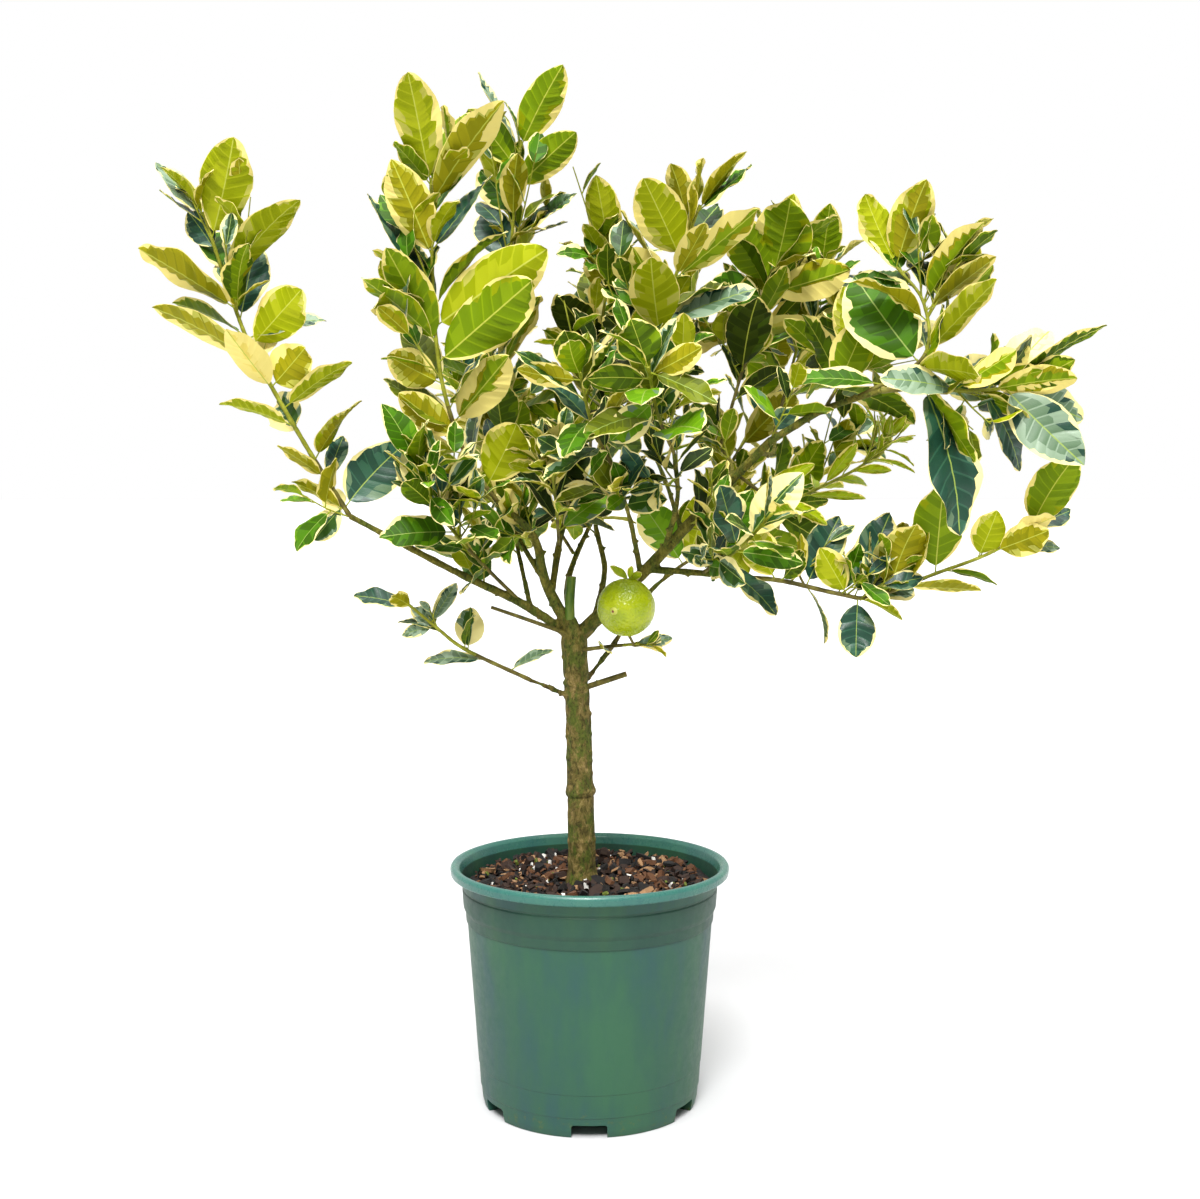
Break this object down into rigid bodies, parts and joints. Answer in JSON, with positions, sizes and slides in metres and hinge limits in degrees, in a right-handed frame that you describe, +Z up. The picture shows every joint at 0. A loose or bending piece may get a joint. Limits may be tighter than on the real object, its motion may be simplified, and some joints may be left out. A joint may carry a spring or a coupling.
{
  "type": "potted variegated lemon tree",
  "caption": "Young grafted lemon tree with cream-edged leaves and a green fruit, on a short bare trunk in a moulded round nursery pot.",
  "frame": {"origin": "middle of the pot's flat underside", "axes": "+Z up along the trunk; +X to the right and -Y towards the viewer as the plant is seen from its front"},
  "size_m": [0.9464, 0.5855, 1.1154],
  "materials": {
    "pot_plastic": "moulded green polypropylene, satin, lightly soiled",
    "potting_bark": "damp shredded bark with perlite",
    "bark": "olive brown bark with green streaks",
    "foliage": "leathery leaves, satin, green with cream edges",
    "fruit_rind": "pitted unripe rind, satin"
  },
  "bodies": {
    "root": {"pot": "pot_plastic", "potting_mix": "potting_bark", "trunk": "bark", "bough_left": "bark", "bough_left_leader": "bark", "bough_right_main": "bark", "bough_right_arm": "bark", "bough_right_low": "bark", "bough_low_left": "bark", "bough_low_back": "bark", "bough_centre": "bark", "bough_behind": "bark", "bough_left_upright": "bark", "bough_left_back": "bark", "bough_front_left": "bark", "bough_front_right": "bark", "bough_crown_left": "bark", "bough_crown_right": "bark", "bough_crown_far": "bark", "bough_back": "bark", "bough_back_right": "bark", "cut_stub_upright": "bark", "cut_stub_right": "bark", "cut_twig_left": "bark", "shoot_far_left": "foliage", "shoot_tall": "foliage", "shoot_tall_back": "foliage", "shoot_right_end": "foliage", "shoot_right_low": "foliage", "shoot_right_top": "foliage", "shoot_low_left": "foliage", "shoot_front_left": "foliage", "shoot_front_right": "foliage", "shoot_crown_left": "foliage", "shoot_centre": "foliage", "shoot_crown_right": "foliage", "shoot_crown_far": "foliage", "shoot_left_inner": "foliage", "shoot_centre_low": "foliage", "shoot_young": "foliage", "shoot_lemon": "foliage", "shoot_front_low": "foliage", "shoot_behind": "foliage", "shoot_low_back": "foliage", "shoot_left_upright": "foliage", "shoot_arm_back": "foliage", "shoot_back": "foliage", "shoot_back_left": "foliage", "shoot_back_right": "foliage", "shoot_back_far": "foliage"}
  },
  "joints": []
}
